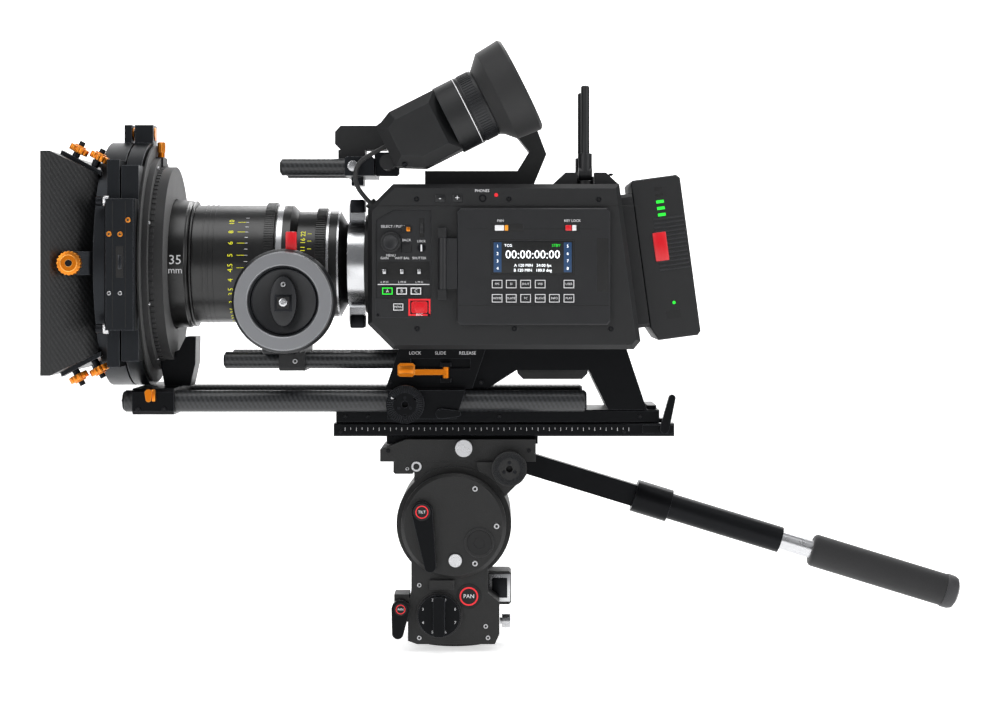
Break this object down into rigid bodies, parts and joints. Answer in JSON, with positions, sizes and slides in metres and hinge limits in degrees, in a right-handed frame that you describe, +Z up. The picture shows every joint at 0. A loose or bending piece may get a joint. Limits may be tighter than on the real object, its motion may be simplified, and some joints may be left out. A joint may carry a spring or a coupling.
{
  "type": "cinema camera rig",
  "caption": "Digital cinema camera on a fluid pan-and-tilt head with prime lens, matte box, follow focus, rods, viewfinder, top handle and battery.",
  "frame": {"origin": "centre of the fluid head's flat base, on the pan axis", "axes": "+Z up; the lens looks along -X; the operator's side with the controls is -Y"},
  "size_m": [0.8161, 0.243, 0.5341],
  "materials": {
    "black_anodised": "satin black anodised aluminium",
    "head_casting": "black textured paint on cast magnesium",
    "black_polymer": "moulded black glass-filled polymer",
    "carbon_fibre": "twill carbon fibre, satin lacquer",
    "lens_black": "gloss black anodised lens barrel",
    "optical_glass": "coated optical glass",
    "stainless": "turned stainless steel",
    "orange_anodised": "orange anodised aluminium",
    "red_plastic": "red moulded plastic",
    "soft_rubber": "matt black rubber",
    "foam_grip": "black closed-cell foam sleeve",
    "grey_anodised": "light grey anodised aluminium"
  },
  "bodies": {
    "base": {"tripod_flange": "black_anodised"},
    "pan_body": {"pan_housing": "head_casting", "drum_covers": "head_casting"},
    "tilt_brake": {"tilt_brake_lever": "head_casting"},
    "pan_brake": {"pan_brake_lever": "head_casting"},
    "pan_drag": {"pan_drag_knob": "black_polymer"},
    "counterbalance": {"counterbalance_knob": "black_polymer"},
    "level_light": {"level_light_button": "stainless"},
    "tilt_head": {"tilt_cradle": "head_casting", "tilt_platform": "head_casting"},
    "plate_release": {"plate_release_knob": "black_anodised"},
    "pan_bar": {"pan_bar_arm": "black_anodised", "pan_bar_tube": "carbon_fibre"},
    "pan_bar_reach": {"pan_bar_extension": "black_anodised", "pan_bar_grip": "foam_grip"},
    "dovetail": {"dovetail_plate": "black_anodised"},
    "stop_lever": {"dovetail_stop_lever": "black_anodised"},
    "bridge": {"bridge_plate": "black_anodised", "rod_bridge": "black_anodised", "studio_rods": "carbon_fibre", "quick_release_base": "black_anodised", "shoulder_frame": "black_polymer", "shoulder_pad": "soft_rubber", "light_rods": "carbon_fibre"},
    "bridge_clamp": {"bridge_clamp_lever": "black_anodised"},
    "quick_release": {"quick_release_lever": "black_anodised"},
    "camera": {"camera_shell": "black_polymer", "control_panel": "black_polymer", "sensor_module": "black_polymer", "top_handle": "black_polymer", "top_rod_block": "black_anodised", "top_rods": "carbon_fibre", "lens_barrel": "lens_black", "lens_glass": "optical_glass", "eyepiece_cable": "soft_rubber"},
    "keys_panel": {"panel_keys": "black_polymer"},
    "record": {"record_button": "red_plastic"},
    "dial": {"menu_dial": "black_polymer"},
    "toggles": {"setting_toggles": "black_polymer"},
    "monitor": {"monitor_door": "black_polymer"},
    "keys_door": {"door_keys": "black_polymer"},
    "battery": {"battery_pack": "black_polymer"},
    "antenna_left": {"antenna_near": "black_polymer"},
    "antenna_right": {"antenna_far": "black_polymer"},
    "lens_lock": {"lens_lock_ring": "stainless"},
    "focus": {"focus_ring": "lens_black"},
    "iris": {"iris_ring": "lens_black"},
    "eyepiece": {"eyepiece_body": "black_polymer", "eyecup": "soft_rubber"},
    "dioptre": {"dioptre_ring": "black_polymer"},
    "follow_focus": {"focus_gearbox": "black_anodised"},
    "wheel": {"focus_wheel": "grey_anodised"},
    "drive_gear": {"focus_gear": "black_anodised"},
    "matte_box": {"hood": "carbon_fibre", "filter_stages": "black_anodised", "rear_ring": "black_anodised", "matte_bracket": "black_anodised", "hood_knobs": "orange_anodised"},
    "ring_lock": {"ring_lock_screw": "orange_anodised"},
    "rod_clamp": {"rod_clamp_lever": "orange_anodised"}
  },
  "joints": [
    {"name": "pan", "type": "hinge", "parent": "base", "child": "pan_body", "pos_m": [0, 0, 0], "axis": [0, 0, 1], "continuous": true},
    {"name": "tilt", "type": "hinge", "parent": "pan_body", "child": "tilt_head", "pos_m": [0, 0, 0.1104], "axis": [0, 1, 0], "range_deg": [-60, 60]},
    {"name": "tilt_brake_swing", "type": "hinge", "parent": "pan_body", "child": "tilt_brake", "pos_m": [-0.0272, -0.07, 0.1234], "axis": [0, 1, 0], "range_deg": [0, 35]},
    {"name": "pan_brake_swing", "type": "hinge", "parent": "pan_body", "child": "pan_brake", "pos_m": [-0.046, -0.062, 0.038], "axis": [0, 1, 0], "range_deg": [0, 40]},
    {"name": "pan_drag_turn", "type": "hinge", "parent": "pan_body", "child": "pan_drag", "pos_m": [-0.0126, -0.062, 0.0319], "axis": [0, 1, 0], "range_deg": [0, 300]},
    {"name": "counterbalance_turn", "type": "hinge", "parent": "pan_body", "child": "counterbalance", "pos_m": [0.042, 0, 0.018], "axis": [1, 0, 0], "continuous": true},
    {"name": "level_light_press", "type": "slide", "parent": "pan_body", "child": "level_light", "axis": [0, 1, 0], "range_m": [0, 0.001], "stiffness_N_per_m": 300},
    {"name": "plate_release_turn", "type": "hinge", "parent": "tilt_head", "child": "plate_release", "pos_m": [0.0087, -0.05, 0.177], "axis": [0, 1, 0], "range_deg": [0, 90]},
    {"name": "pan_bar_angle", "type": "hinge", "parent": "tilt_head", "child": "pan_bar", "pos_m": [0.0487, 0.0693, 0.1597], "axis": [0, 1, 0], "range_deg": [-35, 50]},
    {"name": "pan_bar_length", "type": "slide", "parent": "pan_bar", "child": "pan_bar_reach", "axis": [0.9563, 0, -0.2924], "range_m": [-0.01, 0.06]},
    {"name": "dovetail_slide", "type": "slide", "parent": "tilt_head", "child": "dovetail", "axis": [1, 0, 0], "range_m": [-0.03, 0.03]},
    {"name": "stop_lever_fold", "type": "hinge", "parent": "dovetail", "child": "stop_lever", "pos_m": [0.185, -0.048, 0.194], "axis": [0, 1, 0], "range_deg": [0, 80]},
    {"name": "bridge_slide", "type": "slide", "parent": "dovetail", "child": "bridge", "axis": [1, 0, 0], "range_m": [-0.04, 0.04]},
    {"name": "bridge_clamp_turn", "type": "hinge", "parent": "bridge", "child": "bridge_clamp", "pos_m": [-0.0106, -0.075, 0.209], "axis": [0, -1, 0], "range_deg": [0, 90]},
    {"name": "quick_release_swing", "type": "hinge", "parent": "bridge", "child": "quick_release", "pos_m": [-0.007, -0.0536, 0.245], "axis": [0, 0, 1], "range_deg": [0, 100]},
    {"name": "camera_slide", "type": "slide", "parent": "bridge", "child": "camera", "axis": [1, 0, 0], "range_m": [-0.006, 0.02]},
    {"name": "lens_lock_turn", "type": "hinge", "parent": "camera", "child": "lens_lock", "pos_m": [-0.087, 0, 0.339], "axis": [1, 0, 0], "range_deg": [0, 30]},
    {"name": "focus_turn", "type": "hinge", "parent": "camera", "child": "focus", "pos_m": [-0.19, 0, 0.339], "axis": [1, 0, 0], "range_deg": [0, 270]},
    {"name": "iris_turn", "type": "hinge", "parent": "camera", "child": "iris", "pos_m": [-0.126, 0, 0.339], "axis": [1, 0, 0], "range_deg": [0, 80]},
    {"name": "monitor_open", "type": "hinge", "parent": "camera", "child": "monitor", "pos_m": [-0.009, -0.0796, 0.338], "axis": [0, 0, -1], "range_deg": [0, 100]},
    {"name": "door_keys_press", "type": "slide", "parent": "monitor", "child": "keys_door", "axis": [0, 1, 0], "range_m": [0, 0.0007], "stiffness_N_per_m": 300},
    {"name": "panel_keys_press", "type": "slide", "parent": "camera", "child": "keys_panel", "axis": [0, 1, 0], "range_m": [0, 0.0007], "stiffness_N_per_m": 300},
    {"name": "record_press", "type": "slide", "parent": "camera", "child": "record", "axis": [0, 1, 0], "range_m": [0, 0.0007], "stiffness_N_per_m": 300},
    {"name": "menu_dial_turn", "type": "hinge", "parent": "camera", "child": "dial", "pos_m": [-0.0541, -0.077, 0.3574], "axis": [0, 1, 0], "continuous": true},
    {"name": "toggles_flick", "type": "hinge", "parent": "camera", "child": "toggles", "pos_m": [-0.0444, -0.0736, 0.332], "axis": [1, 0, 0], "range_deg": [-15, 15], "stiffness_Nm_per_rad": 0.02},
    {"name": "battery_slide", "type": "slide", "parent": "camera", "child": "battery", "axis": [-0.134, 0, 0.991], "range_m": [0, 0.06]},
    {"name": "antenna_left_fold", "type": "hinge", "parent": "camera", "child": "antenna_left", "pos_m": [0.1156, -0.04, 0.4183], "axis": [1, 0, 0], "range_deg": [0, 90]},
    {"name": "antenna_right_fold", "type": "hinge", "parent": "camera", "child": "antenna_right", "pos_m": [0.1156, 0.04, 0.4183], "axis": [-1, 0, 0], "range_deg": [0, 90]},
    {"name": "eyepiece_tilt", "type": "hinge", "parent": "camera", "child": "eyepiece", "pos_m": [-0.058, -0.022, 0.428], "axis": [0, -1, 0], "range_deg": [0, 50], "deforming": ["eyepiece_cable"]},
    {"name": "dioptre_turn", "type": "hinge", "parent": "eyepiece", "child": "dioptre", "pos_m": [0.0249, -0.055, 0.479], "axis": [0.8926, 0, 0.4509], "range_deg": [-40, 40]},
    {"name": "follow_focus_slide", "type": "slide", "parent": "bridge", "child": "follow_focus", "axis": [1, 0, 0], "range_m": [-0.01, 0.008]},
    {"name": "focus_wheel_turn", "type": "hinge", "parent": "follow_focus", "child": "wheel", "pos_m": [-0.1443, -0.1, 0.3066], "axis": [0, 1, 0], "range_deg": [0, 740]},
    {"name": "drive_gear_turn", "type": "hinge", "parent": "follow_focus", "child": "drive_gear", "pos_m": [-0.163, -0.045, 0.279], "axis": [1, 0, 0], "range_deg": [-740, 0]},
    {"name": "matte_box_slide", "type": "slide", "parent": "bridge", "child": "matte_box", "axis": [1, 0, 0], "range_m": [-0.008, 0.005]},
    {"name": "ring_lock_turn", "type": "hinge", "parent": "matte_box", "child": "ring_lock", "pos_m": [-0.2642, 0, 0.44], "axis": [0, 0, 1], "continuous": true},
    {"name": "rod_clamp_swing", "type": "hinge", "parent": "matte_box", "child": "rod_clamp", "pos_m": [-0.2648, -0.064, 0.2265], "axis": [0, 1, 0], "range_deg": [0, 90]}
  ],
  "couplings": [
    {"joint": "focus_wheel_turn", "follows": "focus_turn", "ratio": 2.74},
    {"joint": "drive_gear_turn", "follows": "focus_turn", "ratio": -2.74}
  ]
}
